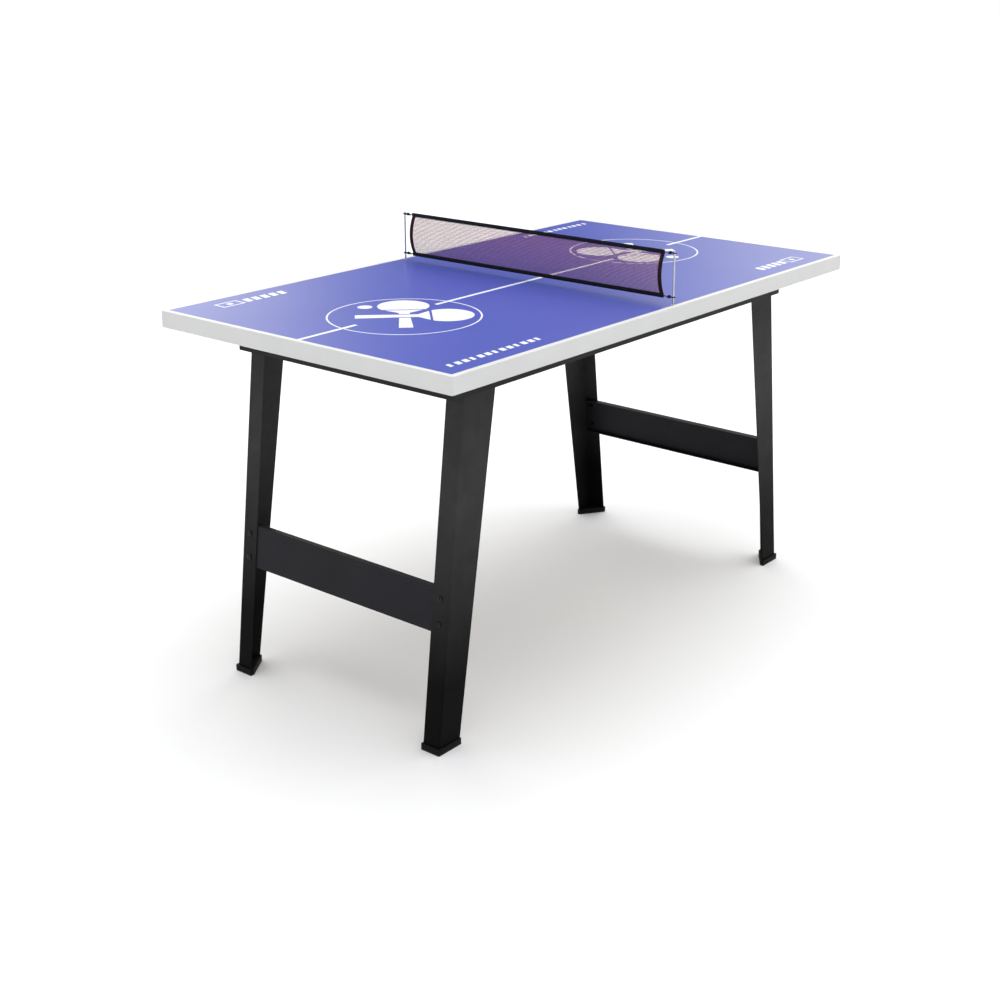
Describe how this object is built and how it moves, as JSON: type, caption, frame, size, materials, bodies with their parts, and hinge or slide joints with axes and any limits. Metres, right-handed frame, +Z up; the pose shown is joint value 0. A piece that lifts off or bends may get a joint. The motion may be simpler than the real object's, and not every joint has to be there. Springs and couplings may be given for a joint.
{
  "type": "table-tennis table",
  "caption": "Half-size table-tennis table: blue panel in a white edge frame, black steel sub-frame, splayed angle legs with crossbars, and a lift-out net.",
  "frame": {"origin": "on the floor, under the middle of the table", "axes": "+X along the table's length to its back end, +Y along the net to its left end, +Z up"},
  "size_m": [1.37, 0.765, 0.8795],
  "materials": {
    "blue_playing_surface": "satin printed coating on fibreboard",
    "white_edge": "white foil on fibreboard, satin",
    "pine_block": "raw pine",
    "black_steel": "fine satin powder coat",
    "black_plastic": "moulded, fine grain",
    "black_fastener": "black oxide",
    "zinc_fastener": "zinc plated",
    "net_yarn": "knotted nylon yarn",
    "black_tape": "woven tape, sewn",
    "maroon_tape": "woven tape, sewn",
    "black_cord": "braided cord",
    "post_wire": "bright plated wire",
    "white_plastic": "moulded"
  },
  "bodies": {
    "table": {"bracket_bolts": "black_fastener", "bracket_nuts": "zinc_fastener", "corner_block_back_left": "pine_block", "corner_block_back_right": "pine_block", "corner_block_front_left": "pine_block", "corner_block_front_right": "pine_block", "cross_rail_back": "black_steel", "cross_rail_bolts": "black_fastener", "cross_rail_front": "black_steel", "cross_rail_nuts": "zinc_fastener", "crossbar_back": "black_steel", "crossbar_bolts": "black_fastener", "crossbar_front": "black_steel", "crossbar_nuts": "black_fastener", "edge_board_back": "white_edge", "edge_board_front": "white_edge", "edge_board_left": "white_edge", "edge_board_right": "white_edge", "foot_cap_back_left": "black_plastic", "foot_cap_back_right": "black_plastic", "foot_cap_front_left": "black_plastic", "foot_cap_front_right": "black_plastic", "frame_bracket_back_left": "black_steel", "frame_bracket_back_right": "black_steel", "frame_bracket_front_left": "black_steel", "frame_bracket_front_right": "black_steel", "frame_rail_back": "black_steel", "frame_rail_front": "black_steel", "frame_rail_left": "black_steel", "frame_rail_right": "black_steel", "leg_back_left": "black_steel", "leg_back_right": "black_steel", "leg_bolts": "black_fastener", "leg_front_left": "black_steel", "leg_front_right": "black_steel", "leg_nuts": "black_fastener", "panel_screws": "zinc_fastener", "playing_panel": "blue_playing_surface", "post_socket_left": "white_plastic", "post_socket_right": "white_plastic"},
    "net_set": {"net_bottom_cord": "black_cord", "net_bottom_tape": "black_tape", "net_mesh": "net_yarn", "net_post_left": "post_wire", "net_post_right": "post_wire", "net_side_tape_left": "maroon_tape", "net_side_tape_right": "maroon_tape", "net_top_cord": "black_cord", "net_top_tape": "black_tape"}
  },
  "joints": [
    {"name": "net_lift", "type": "slide", "parent": "table", "child": "net_set", "axis": [0, 0, 1], "range_m": [0, 0.05]}
  ]
}
